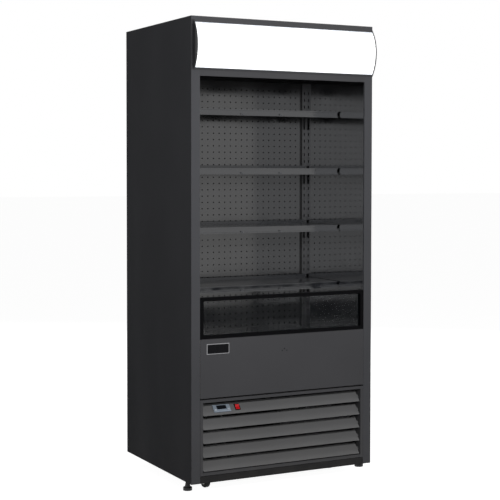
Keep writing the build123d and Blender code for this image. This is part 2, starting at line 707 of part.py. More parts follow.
def key_places():
    return [(CONTROLLER_X + side * KEY_SPACING / 2, CONTROLLER_S - KEY_DROP) for side in (-1, 1)]


def controller_housing():
    """The controller's bezel and body, with a window recess and two key wells."""
    housing = on_slat(CONTROLLER_X, CONTROLLER_S, CONTROLLER_WIDTH, CONTROLLER_HEIGHT, 0, BEZEL_PROUD)
    housing += on_slat(CONTROLLER_X, CONTROLLER_S, CONTROLLER_BODY_WIDTH, CONTROLLER_BODY_HEIGHT,
                       -CONTROLLER_BODY_DEPTH, BEZEL_PROUD / 2)
    housing -= controller_display()
    well = KEY_LENGTH - KEY_PROUD + KEY_TRAVEL + KEY_CLEARANCE
    for x, s in key_places():
        housing -= pin_on_slat(x, s, KEY_RADIUS + KEY_CLEARANCE, BEZEL_PROUD - well, BEZEL_PROUD + CUT)
    return housing


def controller_display():
    return on_slat(CONTROLLER_X, CONTROLLER_S + DISPLAY_RISE, DISPLAY_WIDTH, DISPLAY_HEIGHT,
                   BEZEL_PROUD - DISPLAY_THICK, BEZEL_PROUD)


def controller_key(place):
    x, s = place
    return pin_on_slat(x, s, KEY_RADIUS, BEZEL_PROUD + KEY_PROUD - KEY_LENGTH, BEZEL_PROUD + KEY_PROUD)


def switch_body_size():
    return SWITCH_WIDTH - SWITCH_RIM, SWITCH_HEIGHT - SWITCH_RIM


def rocker_size():
    return SWITCH_WIDTH - 2 * SWITCH_RIM, SWITCH_HEIGHT - 2 * SWITCH_RIM


def switch_bezel():
    """The rocker switch's housing, with the opening that the rocker tilts in."""
    width, height = rocker_size()
    bezel = on_slat(SWITCH_X, SWITCH_S, SWITCH_WIDTH, SWITCH_HEIGHT, 0, SWITCH_PROUD)
    bezel += on_slat(SWITCH_X, SWITCH_S, *switch_body_size(), -SWITCH_BODY_DEPTH, SWITCH_PROUD / 2)
    floor = SWITCH_PROUD - ROCKER_PIVOT_DEPTH - height / 2 - ROCKER_CLEARANCE
    bezel -= on_slat(SWITCH_X, SWITCH_S, width + 2 * ROCKER_CLEARANCE, height + 2 * ROCKER_CLEARANCE,
                     floor, SWITCH_PROUD + CUT)
    pivot = rocker_plane()
    return bezel + extrude(pivot * (Pos(0, 0, -width / 2 - ROCKER_CLEARANCE) * Circle(SHAFT_RADIUS / 2)),
                           width + 2 * ROCKER_CLEARANCE, dir=(1, 0, 0))


def rocker_plane():
    """A plane square to the rocker's pivot: x up the slat, y outwards, z across."""
    plane = slat_plane()
    centre = plane.from_local_coords((SWITCH_X, SWITCH_S, SWITCH_PROUD - ROCKER_PIVOT_DEPTH))
    return Plane(centre, x_dir=plane.y_dir, z_dir=(1, 0, 0))


def power_rocker():
    """The rocker: a round-ended body with a shallow V on top, resting with its lower end pressed in."""
    width, height = rocker_size()
    radius = height / 2
    rise = ROCKER_PIVOT_DEPTH * math.cos(math.radians(ROCKER_TILT))
    reach = 2 * radius
    lift = rise + reach * math.tan(math.radians(ROCKER_TILT))
    dish = Polyline((-reach, lift), (0, rise), (reach, lift), (reach, -ROCKER_BOTTOM),
                    (-reach, -ROCKER_BOTTOM), close=True)
    section = make_face(dish) & Circle(radius)
    section -= Circle(SHAFT_RADIUS / 2 + RUNNING_CLEARANCE)
    section = Rot(0, 0, ROCKER_TILT) * section
    plane = rocker_plane()
    return extrude(plane * (Pos(0, 0, -width / 2) * section), width, dir=(1, 0, 0))


# ---------------------------------------------------------------- light box
def sign_section(inset, low=0.0, high=SIGN):
    """The bulged section of the light box, drawn in by inset and cut to a height band."""
    plane = Plane((0, SIGN_AXIS_Y, SIGN_MIDDLE), x_dir=(0, 1, 0), z_dir=(1, 0, 0))
    disc = Circle(SIGN_RADIUS - inset)
    depth = SIGN_BULGE
    middle_y = FRONT - depth / 2 - SIGN_AXIS_Y
    middle_z = (low + high) / 2 - SIGN / 2
    window = Pos(middle_y, middle_z) * Rectangle(depth, high - low)
    return plane * (disc & window)


def sign_run(section, x0, x1):
    return extrude(Pos(x0, 0, 0) * section, x1 - x0, dir=(1, 0, 0))


def sign_canopy():
    """The light box's frame: header strip, recessed tray behind, and two curved lips in front."""
    width = (-CLEAR, CLEAR)
    recess = (FRONT, FRONT + CANOPY_RECESS)
    canopy = box((-INNER, INNER), (FRONT, FRONT + SKIN), (HEADER_Z, SIGN_Z + SKIN))
    canopy += box(width, recess, (SIGN_Z, SIGN_Z + SKIN))
    canopy += box(width, recess, (BAND_Z - SKIN, BAND_Z))
    canopy += box(width, (recess[1] - SKIN, recess[1]), (SIGN_Z, BAND_Z))
    x = (SIGN_LEFT + END_CAP, SIGN_RIGHT - END_CAP)
    for low, high in ((0, SIGN_LIP), (SIGN - SIGN_LIP, SIGN)):
        lip = sign_run(sign_section(0, low, high), *x) - sign_run(sign_section(SIGN_SHELL), *x)
        canopy += lip
    return canopy


def sign_diffuser():
    """The curved white front, between the lips and the end caps."""
    x = (SIGN_LEFT + END_CAP, SIGN_RIGHT - END_CAP)
    band = (SIGN_LIP, SIGN - SIGN_LIP)
    skin = sign_run(sign_section(SIGN_SHELL - DIFFUSER, *band), *x)
    return skin - sign_run(sign_section(SIGN_SHELL), *x)


def sign_end_caps():
    """A plate at each end of the light box; the left one has a flange on the column."""
    left = sign_run(sign_section(0), SIGN_LEFT, SIGN_LEFT + END_CAP)
    flange_z = (SIGN_Z + CAP_FLANGE_GAP, BAND_Z - CAP_FLANGE_GAP)
    left += box((-HALF, SIGN_LEFT + END_CAP), (FRONT - SKIN, FRONT), flange_z)
    right = sign_run(sign_section(0), SIGN_RIGHT - END_CAP, SIGN_RIGHT)
    return [left, right]


def sign_lamps():
    """Two lamp tubes, each between two holders on the canopy's back."""
    x = INNER - LAMP_END_GAP
    lamps = []
    for side in (-1, 1):
        z = SIGN_MIDDLE + side * LAMP_SPACING / 2
        y = FRONT + CANOPY_RECESS - SKIN - LAMP_SETBACK
        lamps.append(rod((LAMP_HOLDER - x, y, z), LAMP_RADIUS, 2 * (x - LAMP_HOLDER), (1, 0, 0)))
        holder = box((x - LAMP_HOLDER, x), (y - LAMP_RADIUS, FRONT + CANOPY_RECESS - SKIN),
                     (z - LAMP_RADIUS, z + LAMP_RADIUS))
        lamps += [holder, opposite(holder)]
    return lamps


# ---------------------------------------------------------------- base
def foot_places():
    return [(-LEFT_FOOT_X, FRONT + LEFT_FOOT_INSET), (RIGHT_FOOT_X, FRONT + RIGHT_FOOT_INSET)]


def base_tray():
    """The floor of the machine space, with the kick face and the nuts of the levelling feet."""
    side = HALF - SKIN
    floor = (TRAY_FLOOR, TRAY_TOP)
    tray = box((-side, side), (FRONT + JAMB, BACK - SKIN), floor)
    tray += box((-INNER, INNER), (FRONT, FRONT + JAMB), floor)
    tray += box((-INNER, INNER), (FRONT, FRONT + TRAY_SHEET), (BASE, BASE + KICK))
    tray += box((-side, side), (BACK - SKIN - TRAY_SHEET, BACK - SKIN), (BASE, TRAY_TOP))
    flange = box((side - TRAY_SHEET, side), (FRONT + JAMB, BACK - SKIN), (BASE, TRAY_TOP))
    tray += [flange, opposite(flange)]
    for x, y in foot_places():
        nut = Plane((x, y, TRAY_TOP)) * RegularPolygon(FOOT_NUT_RADIUS, 6)
        tray += extrude(nut, FOOT_NUT)
        bore = STUD_RADIUS + RUNNING_CLEARANCE
        tray -= rod((x, y, BASE), bore, TRAY_RECESS + TRAY_SHEET + 2 * FOOT_NUT, (0, 0, 1))
    return tray


def levelling_foot(x, y, lift):
    """Round pad, tapered neck and threaded stud, drawn as one piece, lifted off the floor by lift."""
    pad = fillet(Cylinder(FOOT_RADIUS, FOOT_PAD).edges().sort_by(Axis.Z)[-1], FOOT_ROUND)
    pad = Pos(0, 0, FOOT_PAD / 2) * pad
    neck = Pos(0, 0, FOOT_PAD + FOOT_NECK / 2) * Cone(FOOT_NECK_RADIUS, FOOT_NECK_TOP_RADIUS, FOOT_NECK)
    stud = rod((0, 0, FOOT_PAD), STUD_RADIUS, FOOT_NECK + STUD_LENGTH, (0, 0, 1))
    return Pos(x, y, lift) * (pad + neck + stud)


def fork_web_top():
    return TRAY_FLOOR - CASTER_PLATE - CASTER_PLAY


def caster_plate(place):
    """The mounting plate under the tray, with the riveted kingpin."""
    low = TRAY_FLOOR - CASTER_PLATE
    size = CASTER_PLATE_SIZE / 2
    plate = box((-size, size), (-size, size), (low, TRAY_FLOOR))
    web_low = fork_web_top() - FORK_WEB
    head_top = web_low - CASTER_PLAY
    pin = rod((0, 0, head_top), KINGPIN_RADIUS, low - head_top, (0, 0, 1))
    head = rod((0, 0, head_top - KINGPIN_HEAD), KINGPIN_HEAD_RADIUS, KINGPIN_HEAD, (0, 0, 1))
    return place * (plate + pin + head)


def caster_fork(place):
    """The swivelling fork, and the axle that is fixed in its two legs."""
    top = fork_web_top()
    leg_in = WHEEL_WIDTH / 2 + WHEEL_SIDE_GAP
    leg_out = leg_in + FORK_LEG
    boss = AXLE_HEAD_RADIUS + FORK_WEB
    web = rod((0, 0, top - FORK_WEB), FORK_RADIUS, FORK_WEB, (0, 0, 1))
    web -= rod((0, 0, top - 2 * FORK_WEB), KINGPIN_RADIUS + RUNNING_CLEARANCE, 3 * FORK_WEB, (0, 0, 1))
    outline = make_face(Polyline((-FORK_RADIUS / 2, top), (FORK_RADIUS - FORK_WEB, top),
                                 (TRAIL + boss, WHEEL_RADIUS), (TRAIL - boss, WHEEL_RADIUS), close=True))
    outline += Pos(TRAIL, WHEEL_RADIUS) * Circle(boss)
    outline -= Pos(TRAIL, WHEEL_RADIUS) * Circle(AXLE_RADIUS)
    plane = Plane((0, 0, 0), x_dir=(1, 0, 0), z_dir=(0, -1, 0))
    fork = web
    for offset_y in (-leg_out, leg_in):
        fork += Pos(0, offset_y + FORK_LEG, 0) * extrude(plane * outline, FORK_LEG)
    axle = rod((TRAIL, -leg_out, WHEEL_RADIUS), AXLE_RADIUS, 2 * leg_out, (0, 1, 0))
    for start in (-leg_out - AXLE_HEAD, leg_out):
        axle += rod((TRAIL, start, WHEEL_RADIUS), AXLE_HEAD_RADIUS, AXLE_HEAD, (0, 1, 0))
    return [place * fork, place * axle]


def caster_wheel(place):
    wheel = Rot(90, 0, 0) * Cylinder(WHEEL_RADIUS, WHEEL_WIDTH)
    wheel = fillet(wheel.edges(), min(WHEEL_ROUND, WHEEL_WIDTH / 3))
    wheel -= Rot(90, 0, 0) * Cylinder(AXLE_RADIUS + RUNNING_CLEARANCE, WHEEL_WIDTH + 2 * CUT)
    return place * (Pos(TRAIL, 0, WHEEL_RADIUS) * wheel)


def caster_places():
    """Where each caster stands and how far it is turned: the two front ones swivel."""
    front = FRONT + CASTER_INSET
    rear = BACK - CASTER_INSET
    return {"front_left": across(-CASTER_X, front, FRONT_LEFT_CASTER_TURN),
            "front_right": across(CASTER_X, front, FRONT_RIGHT_CASTER_TURN),
            "rear_left": across(-CASTER_X, rear, FRONT_RIGHT_CASTER_TURN),
            "rear_right": across(CASTER_X, rear, FRONT_RIGHT_CASTER_TURN)}


# ---------------------------------------------------------------- refrigeration
def finned_coil(x, y, z):
    """Fin sheets between two end plates, threaded by hairpin tubes with return bends."""
    rows = 2 * int((z[1] - z[0]) / (2 * COIL_ROW_PITCH))
    columns = int((y[1] - y[0]) / COIL_ROW_PITCH)
    centres = []
    for row in range(rows):
        for column in range(columns):
            cy = (y[0] + y[1]) / 2 + (column - (columns - 1) / 2) * COIL_ROW_PITCH
            cz = (z[0] + z[1]) / 2 + (row - (rows - 1) / 2) * COIL_ROW_PITCH
            centres.append((cy, cz))
    solids = []
    plane = Plane((x[0], (y[0] + y[1]) / 2, (z[0] + z[1]) / 2), x_dir=(0, 1, 0), z_dir=(1, 0, 0))
    outline = Wire.make_rect(y[1] - y[0], z[1] - z[0], plane)
    holes = [Wire.make_circle(COIL_TUBE_RADIUS, Plane((x[0], cy, cz), z_dir=(1, 0, 0))) for cy, cz in centres]
    face = Face(outline, holes)
    end_plate = extrude(face, COIL_END_PLATE, dir=(1, 0, 0))
    solids.append(end_plate)
    solids.append(Pos(x[1] - x[0] - COIL_END_PLATE, 0, 0) * end_plate)
    fin = extrude(face, FIN_SHEET, dir=(1, 0, 0))
    count = int((x[1] - x[0] - 2 * COIL_END_PLATE) / FIN_PITCH)
    for index in range(1, count):
        solids.append(Pos(index * (x[1] - x[0]) / count, 0, 0) * fin)
    for column in range(columns):
        for row in range(0, rows, 2):
            cy, low = centres[row * columns + column]
            high = low + COIL_ROW_PITCH
            path = FilletPolyline((x[0] - COIL_TUBE_RADIUS, cy, low), (x[1] + COIL_ROW_PITCH, cy, low),
                                  (x[1] + COIL_ROW_PITCH, cy, high), (x[0] - COIL_TUBE_RADIUS, cy, high),
                                  radius=COIL_ROW_PITCH / 2 - COIL_BEND_STRAIGHT / 2)
            start = Plane((x[0] - COIL_TUBE_RADIUS, cy, low), z_dir=(1, 0, 0))
            solids.append(sweep(start * Circle(COIL_TUBE_RADIUS), path=path))
    return solids


def condenser_z():
    return TRAY_TOP, TRAY_TOP + CONDENSER_HEIGHT


def condenser_y():
    return FRONT + CONDENSER_SETBACK, FRONT + CONDENSER_SETBACK + CONDENSER_THICK


def condenser_coil():
    x = (CONDENSER_X - CONDENSER_WIDTH / 2, CONDENSER_X + CONDENSER_WIDTH / 2)
    return finned_coil(x, condenser_y(), condenser_z())


def evaporator_z():
    low = FLOOR + LINER
    return low, low + EVAPORATOR_HEIGHT


def evaporator_y():
    return FRONT + EVAPORATOR_SETBACK, FRONT + EVAPORATOR_SETBACK + EVAPORATOR_THICK


def evaporator_coil():
    half = CLEAR - EVAPORATOR_END_GAP
    return finned_coil((-half, half), evaporator_y(), evaporator_z())


def fan_place(name):
    """Centre of a fan's opening, its radius, and the low and high edges of its shroud."""
    if name == "condenser":
        y = condenser_y()[1]
        return Vector(CONDENSER_X, y, sum(condenser_z()) / 2), CONDENSER_FAN_RADIUS, condenser_z()
    y = evaporator_y()[1] + EVAPORATOR_FAN_GAP
    return Vector(0, y, sum(evaporator_z()) / 2), EVAPORATOR_FAN_RADIUS, evaporator_z()


def fan_shroud(name):
    """Shroud plate with a round opening, and the motor on four struts behind it."""
    centre, radius, z = fan_place(name)
    half = CLEAR if name == "evaporator" else radius + SHROUD_MARGIN
    motor_front = centre.Y + SHROUD_SHEET + FAN_HUB_LENGTH + MOTOR_GAP
    plate = box((centre.X - half, centre.X + half), (centre.Y, centre.Y + SHROUD_SHEET), z)
    ring = rod(centre, radius + SHROUD_SHEET, FAN_HUB_LENGTH, (0, 1, 0))
    opening = rod(centre - Vector(0, CUT, 0), radius, FAN_HUB_LENGTH + 2 * CUT, (0, 1, 0))
    shroud = plate + ring - opening
    motor = rod(Vector(centre.X, motor_front, centre.Z), MOTOR_RADIUS, MOTOR_LENGTH, (0, 1, 0))
    strut_y = (motor_front + STRUT, motor_front + 2 * STRUT)
    reach = radius + SHROUD_SHEET
    strut_z = (centre.Z - STRUT / 2, centre.Z + STRUT / 2)
    across_strut = box((centre.X - reach, centre.X + reach), strut_y, strut_z)
    legs = []
    for side in (-1, 1):
        edge = sorted((centre.X + side * reach, centre.X + side * (reach - STRUT)))
        legs.append(box(edge, (centre.Y + FAN_HUB_LENGTH / 2, strut_y[1]), strut_z))
    shroud += [leg - opening for leg in legs]
    shroud += across_strut + motor
    bore = rod(Vector(centre.X, motor_front - CUT, centre.Z), SHAFT_RADIUS + RUNNING_CLEARANCE,
               SHAFT_INSERT + SHAFT_END_GAP + CUT, (0, 1, 0))
    return shroud - bore


def fan(name):
    """Hub, pitched blades and the shaft that turns in the motor."""
    centre, radius, _ = fan_place(name)
    chord = CONDENSER_BLADE_CHORD if name == "condenser" else EVAPORATOR_BLADE_CHORD
    start = Vector(centre.X, centre.Y + SHROUD_SHEET, centre.Z)
    tip = radius - FAN_TIP_GAP
    blade = Pos(0, 0, (FAN_HUB_RADIUS + radius) / 2) * Rot(0, 0, FAN_BLADE_PITCH)
    blade *= Box(chord, FAN_BLADE, radius - FAN_HUB_RADIUS + FAN_BLADE)
    wheel = rod((0, 0, 0), FAN_HUB_RADIUS, FAN_HUB_LENGTH, (0, 1, 0))
    limit = rod((0, 0, 0), tip, FAN_HUB_LENGTH, (0, 1, 0))
    for index in range(FAN_BLADES):
        turned = Rot(0, index * 360 / FAN_BLADES, 0) * Pos(0, FAN_HUB_LENGTH / 2, 0) * blade
        wheel += turned & limit
    wheel += rod((0, 0, 0), SHAFT_RADIUS, FAN_HUB_LENGTH + MOTOR_GAP + SHAFT_INSERT, (0, 1, 0))
    return Pos(*start) * wheel


def compressor():
    """Hermetic shell on a base plate with four grommets, with its terminal cover and pipe stubs."""
    seat = TRAY_TOP + GROMMET
    low = seat + COMPRESSOR_BASE
    seam = low + COMPRESSOR_HEIGHT / 2
    shoulder = low + COMPRESSOR_HEIGHT - COMPRESSOR_DOME
    radius = COMPRESSOR_RADIUS
    shell = Cylinder(radius, COMPRESSOR_HEIGHT)
    body = Pos(0, 0, seam) * fillet(shell.edges().filter_by(GeomType.CIRCLE), COMPRESSOR_DOME)
    body += rod((0, 0, seam - COMPRESSOR_SEAM / 2), radius + COMPRESSOR_SEAM, COMPRESSOR_SEAM, (0, 0, 1))
    half_x = COMPRESSOR_BASE_LENGTH / 2
    half_y = COMPRESSOR_BASE_WIDTH / 2
    body += box((-half_x, half_x), (-half_y, half_y), (seat, low))
    body += box((radius / 2, radius + TERMINAL_COVER), (-TERMINAL_COVER, TERMINAL_COVER),
                (seam + COMPRESSOR_SEAM, shoulder))
    for side in (-1, 1):
        body += rod((-radius / 2, side * radius / 2, seam), PIPE_RADIUS, PIPE_RISE, (0, 0, 1))
    solids = [body]
    for side_x in (-1, 1):
        for side_y in (-1, 1):
            place = (side_x * (half_x - GROMMET_RADIUS), side_y * (half_y - GROMMET_RADIUS), TRAY_TOP)
            solids.append(rod(place, GROMMET_RADIUS, GROMMET, (0, 0, 1)))
    return [Pos(COMPRESSOR_X, FRONT + COMPRESSOR_SETBACK, 0) * solid for solid in solids]


def condensate_tray():
    x = (TRAY_X - TRAY_LENGTH / 2, TRAY_X + TRAY_LENGTH / 2)
    y = (FRONT + TRAY_SETBACK, FRONT + TRAY_SETBACK + TRAY_WIDTH)
    outer = box(x, y, (TRAY_TOP, TRAY_TOP + TRAY_HEIGHT))
    inner = box((x[0] + TRAY_WALL, x[1] - TRAY_WALL), (y[0] + TRAY_WALL, y[1] - TRAY_WALL),
                (TRAY_TOP + TRAY_WALL, TRAY_TOP + TRAY_HEIGHT + CUT))
    return outer - inner


def electrical_box():
    """A closed terminal box with the cable gland on its rear wall."""
    x = (BOX_X - BOX_WIDTH / 2, BOX_X + BOX_WIDTH / 2)
    y = (FRONT + BOX_SETBACK, FRONT + BOX_SETBACK + BOX_LENGTH)
    case = box(x, y, (TRAY_TOP, TRAY_TOP + BOX_HEIGHT))
    case -= box((x[0] + BOX_WALL, x[1] - BOX_WALL), (y[0] + BOX_WALL, y[1] - BOX_WALL),
                (TRAY_TOP + BOX_WALL, TRAY_TOP + BOX_HEIGHT - BOX_WALL))
    return case + rod((BOX_X, y[1], TRAY_TOP + BOX_HEIGHT / 2), GLAND_RADIUS, GLAND_LENGTH, (0, 1, 0))


# ---------------------------------------------------------------- output
def write(node, shape):
    """Write one node's solids to its own file."""
    shapes = shape if isinstance(shape, list) else [shape]
    solids = [solid for item in shapes for solid in item.solids()]
    export_step(Compound(children=solids) if len(solids) > 1 else solids[0], f"parts/{node}.step")


def nodes():
    """Every node's name and its shape."""
    right_panel = side_panel()
    right_liner = side_liner()
    upright = slotted_upright()
    brackets = [shelf_bracket(index) for index in range(SHELF_COUNT)]
    places = caster_places()
    keys = key_places()
    feet = foot_places()
    model = {
        "left_side_panel": opposite(right_panel),
        "right_side_panel": right_panel,
        "left_inner_liner": opposite(right_liner),
        "right_inner_liner": right_liner,
        "insulation_foam": insulation(),
        "rear_panel": rear_panel(),
        "rear_and_floor_liner": rear_and_floor_liner(),
        "roof_panel": roof_panel(),
        "ceiling_liner": ceiling_liner(),
        "air_discharge_grille": air_discharge_grille(),
        "perforated_back_panel": perforated_back_panel(),
        "slotted_uprights": [upright, opposite(upright)],
        "shelf_brackets": brackets + [opposite(bracket) for bracket in brackets],
        "deck_pan": deck_pan(),
        "return_air_grille": return_air_grille(),
        "guard_frame": guard_frame(),
        "guard_glass": guard_glass(),
        "lower_front_panel": lower_front_panel(),
        "badge_plate": badge_plate(),
        "panel_fixings": panel_fixings(),
        "base_tray": base_tray(),
        "louvre_frame": louvre_frame(),
        "louvre_slats": louvre_slats(),
        "controller_housing": controller_housing(),
        "controller_display": controller_display(),
        "controller_key_left": controller_key(keys[0]),
        "controller_key_right": controller_key(keys[1]),
        "switch_bezel": switch_bezel(),
        "power_rocker": power_rocker(),
        "sign_canopy": sign_canopy(),
        "sign_diffuser": sign_diffuser(),
        "sign_end_caps": sign_end_caps(),
        "sign_lamps": sign_lamps(),
        "compressor": compressor(),
        "condenser_coil": condenser_coil(),
        "condenser_fan_shroud": fan_shroud("condenser"),
        "condenser_fan": fan("condenser"),
        "evaporator_coil": evaporator_coil(),
        "evaporator_fan_shroud": fan_shroud("evaporator"),
        "evaporator_fan": fan("evaporator"),
        "condensate_tray": condensate_tray(),
        "electrical_box": electrical_box(),
        "caster_plates": [caster_plate(place) for place in places.values()],
        "rear_caster_forks": caster_fork(places["rear_left"]) + caster_fork(places["rear_right"]),
        "front_left_caster_fork": caster_fork(places["front_left"]),
        "front_right_caster_fork": caster_fork(places["front_right"]),
        "left_levelling_foot": levelling_foot(*feet[0], 0),
        "right_levelling_foot": levelling_foot(*feet[1], FOOT_TRAVEL),
    }
    for name, place in places.items():
        model[f"{name}_caster_wheel"] = caster_wheel(place)
    for index in range(SHELF_COUNT):
        model[f"shelf_tray_{index + 1}"] = shelf_tray(index)
        model[f"ticket_rail_{index + 1}"] = ticket_rail(index)
    return model


os.makedirs("parts", exist_ok=True)
for node_name, node_shape in nodes().items():
    write(node_name, node_shape)
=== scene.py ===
import json
import math

import bmesh
import bpy
from mathutils import Matrix, Vector


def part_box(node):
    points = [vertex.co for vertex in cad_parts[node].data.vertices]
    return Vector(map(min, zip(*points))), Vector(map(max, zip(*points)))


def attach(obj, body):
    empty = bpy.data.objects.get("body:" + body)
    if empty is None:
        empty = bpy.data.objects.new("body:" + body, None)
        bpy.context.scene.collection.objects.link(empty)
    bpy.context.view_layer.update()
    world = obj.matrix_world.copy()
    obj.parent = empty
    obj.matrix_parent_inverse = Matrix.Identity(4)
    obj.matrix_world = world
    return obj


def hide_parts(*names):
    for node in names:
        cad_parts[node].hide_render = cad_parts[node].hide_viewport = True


# The open display fridge in metres, in the frame of the CAD model: +Z up, the front faces -Y.

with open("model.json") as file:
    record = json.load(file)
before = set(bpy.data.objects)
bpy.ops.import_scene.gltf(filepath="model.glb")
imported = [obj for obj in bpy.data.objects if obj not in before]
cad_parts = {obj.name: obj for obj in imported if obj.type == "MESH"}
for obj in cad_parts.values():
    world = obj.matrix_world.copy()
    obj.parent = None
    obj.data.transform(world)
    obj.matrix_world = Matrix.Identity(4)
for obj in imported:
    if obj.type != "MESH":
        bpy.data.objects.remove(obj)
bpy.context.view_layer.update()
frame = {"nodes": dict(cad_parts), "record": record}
nodes = frame["nodes"]
MM = 0.001

# The photograph's viewpoint, solved from the body's edges.
CAMERA_PLACE = (-2.7334, -5.25965, 1.4034)
CAMERA_YAW, CAMERA_PITCH, CAMERA_ROLL = 27.526, 2.221, 0.072  # degrees
CAMERA_LENS, SENSOR_WIDTH = 91.10, 36.0  # millimetres
CAMERA_SHIFT = -0.06

# Each lamp's name, place, target, size across and along, and power in watts.
LAMPS = (
    ("key", (-0.3, -3.25, 1.98), (-0.1, 0.0, 1.98), (2.0, 0.45), 72.0),
    ("low", (-0.5, -3.3, 1.0), (0.0, 0.0, 1.05), (1.6, 0.6), 14.0),
    ("side", (-3.6, -0.6, 2.1), (-0.46, 0.0, 1.6), (1.2, 1.2), 16.0),
    ("top", (-0.3, -1.4, 4.2), (0.0, -0.35, 0.3), (1.6, 1.6), 26.0),
    ("rear", (2.8, 3.6, 2.6), (0.2, 0.2, 1.0), (2.2, 2.2), 150.0),
)
AMBIENT = 0.05  # what the white surround gives to surfaces that don't mirror it
FLOOR_WHITE = 0.955
FLOOR_REACH = 60.0

SCREW_HEIGHT, RECESS_DEPTH = 1.2 * MM, 0.6 * MM
FIRST_TURN, NEXT_TURN = 0.4, 1.1  # radians, so that no two crosses stand alike

BADGE_BORDER = 3.3 * MM
ENAMEL_FRONT, ENAMEL_BACK = 0.12 * MM, 0.55 * MM  # behind the plate's front
ENAMEL_CORNER, ENAMEL_LIP = 2.0 * MM, 0.15 * MM

# The clips of the ticket rails, from the rail's lower front edge and the fridge's middle.
SHELVES = range(1, 5)
CLIP_SIDES = (-0.1, 0.1)
TAB_HALF_WIDTH = 5.5 * MM
TAB_BOTTOM, TAB_TOP = 1.2 * MM, 9.5 * MM
TAB_PROUD, TAB_SUNK = 0.5 * MM, 0.6 * MM
TAB_CORNER, TAB_LIP = 1.5 * MM, 0.2 * MM
PIN_HEIGHT, PIN_RADIUS = 5.0 * MM, 1.7 * MM
PIN_PROUD, PIN_SUNK = 0.7 * MM, 0.3 * MM


# ---------------------------------------------------------------- shader graphs
class Graph:
    """One material and short ways to add nodes to it. Texture space is the object's, in metres."""

    def __init__(self, name):
        self.material = bpy.data.materials.new(name)
        self.material.use_nodes = True
        self.tree = self.material.node_tree
        self.shader = self.tree.nodes["Principled BSDF"]
        self.coords = self.tree.nodes.new("ShaderNodeTexCoord").outputs["Object"]

    def put(self, socket, value):
        """Link a socket to an output, or give it a plain value."""
        if isinstance(value, bpy.types.NodeSocket):
            self.tree.links.new(value, socket)
        else:
            socket.default_value = value

    def add(self, kind, inputs=None, **settings):
        """A new node with its settings and inputs."""
        node = self.tree.nodes.new(kind)
        for key, value in settings.items():
            setattr(node, key, value)
        for key, value in (inputs or {}).items():
            self.put(node.inputs[key], value)
        return node

    def set(self, **inputs):
        """Set inputs of the shader itself."""
        for key, value in inputs.items():
            self.put(self.shader.inputs[key.replace("_", " ")], value)

    def stretched(self, scale):
        """Coordinates scaled by axis: a small number draws the pattern out along it."""
        mapping = self.add("ShaderNodeMapping", {"Vector": self.coords, "Scale": scale})
        return mapping.outputs["Vector"]

    def noise(self, scale, detail=2.0, vector=None):
        """Noise of about that many lumps a metre."""
        inputs = {"Vector": vector or self.coords, "Scale": scale, "Detail": detail}
        return self.add("ShaderNodeTexNoise", inputs).outputs["Fac"]

    def spread(self, value, low, high, to_low, to_high):
        """The value with low to high mapped to to_low to to_high, and held there beyond."""
        inputs = {"Value": value, "From Min": low, "From Max": high,
                  "To Min": to_low, "To Max": to_high}
        return self.add("ShaderNodeMapRange", inputs).outputs["Result"]

    def math(self, operation, a, b=0.0):
        return self.add("ShaderNodeMath", {0: a, 1: b}, operation=operation).outputs[0]

    def mix(self, factor, a, b):
        """Colour a where the factor is 0, and b where it is 1."""
        node = self.add("ShaderNodeMix", data_type="RGBA")
        for index, value in ((0, factor), (6, a), (7, b)):
            self.put(node.inputs[index], value)
        return node.outputs[2]

    def height(self):
        """Height above the floor."""
        return self.add("ShaderNodeSeparateXYZ", {"Vector": self.coords}).outputs["Z"]

    def bump(self, height, distance, strength=1.0):
        inputs = {"Height": height, "Distance": distance, "Strength": strength}
        return self.add("ShaderNodeBump", inputs).outputs["Normal"]

    def edges(self, radius):
        """Near 1 close to sharp edges and 0 on flat faces."""
        rounded = self.add("ShaderNodeBevel", {"Radius": radius}, samples=4).outputs["Normal"]
        flat = self.add("ShaderNodeNewGeometry").outputs["Normal"]
        dot = self.add("ShaderNodeVectorMath", {0: rounded, 1: flat}, operation="DOT_PRODUCT")
        return self.spread(dot.outputs["Value"], 0.995, 0.85, 0.0, 1.0)


def tone(colour, factor):
    """The colour made darker or paler, with full alpha."""
    return tuple(min(1.0, channel * factor) for channel in colour[:3]) + (1.0,)


def grey(level):
    return (level, level, level, 1.0)


def powder_coat(name, colour, roughness=0.5, specular=0.05, peel=0.5, cloud=0.05,
                wear_and_highlight=0.35, dust=0.0):
    """Stoved powder paint: orange peel, faint clouds of tone, paler edges that are partly abrasion
    and partly a painted highlight, and dust low down.
    """
    g = Graph(name)
    clouds = g.spread(g.noise(2.6, 4.0), 0.35, 0.65, 0.0, 1.0)
    paint = g.mix(clouds, tone(colour, 1 - cloud), tone(colour, 1 + cloud))
    grain = g.spread(g.noise(520.0, 2.0), 0.4, 0.6, 0.0, 1.0)
    paint = g.mix(g.math("MULTIPLY", grain, 0.35), paint, tone(colour, 0.88))
    # Paler edges: partly abrasion of the paint, partly a painted highlight in place of rounded
    # edges catching the light.
    rubbed_and_highlit = g.spread(g.noise(60.0, 3.0), 0.42, 0.62, 0.1, wear_and_highlight)
    worn_and_highlit = g.math("MULTIPLY", g.edges(1.2 * MM), rubbed_and_highlit)
    paint = g.mix(worn_and_highlit, paint, tone(colour, 2.0))
    if dust:
        low = g.spread(g.height(), 0.05, 0.42, dust, 0.0)
        patchy = g.spread(g.noise(14.0, 5.0), 0.35, 0.7, 0.2, 1.0)
        paint = g.mix(g.math("MULTIPLY", low, patchy), paint, (0.16, 0.15, 0.135, 1.0))
    marks = g.noise(5.0, 4.0, g.stretched((1.0, 1.0, 0.12)))
    rough = g.spread(marks, 0.3, 0.7, roughness - 0.05, roughness + 0.07)
    peeled = g.noise(430.0, 1.5)
    g.set(Base_Color=paint, Roughness=rough, Normal=g.bump(peeled, 0.12 * MM, peel))
    g.set(Specular_IOR_Level=specular)
    return g.material


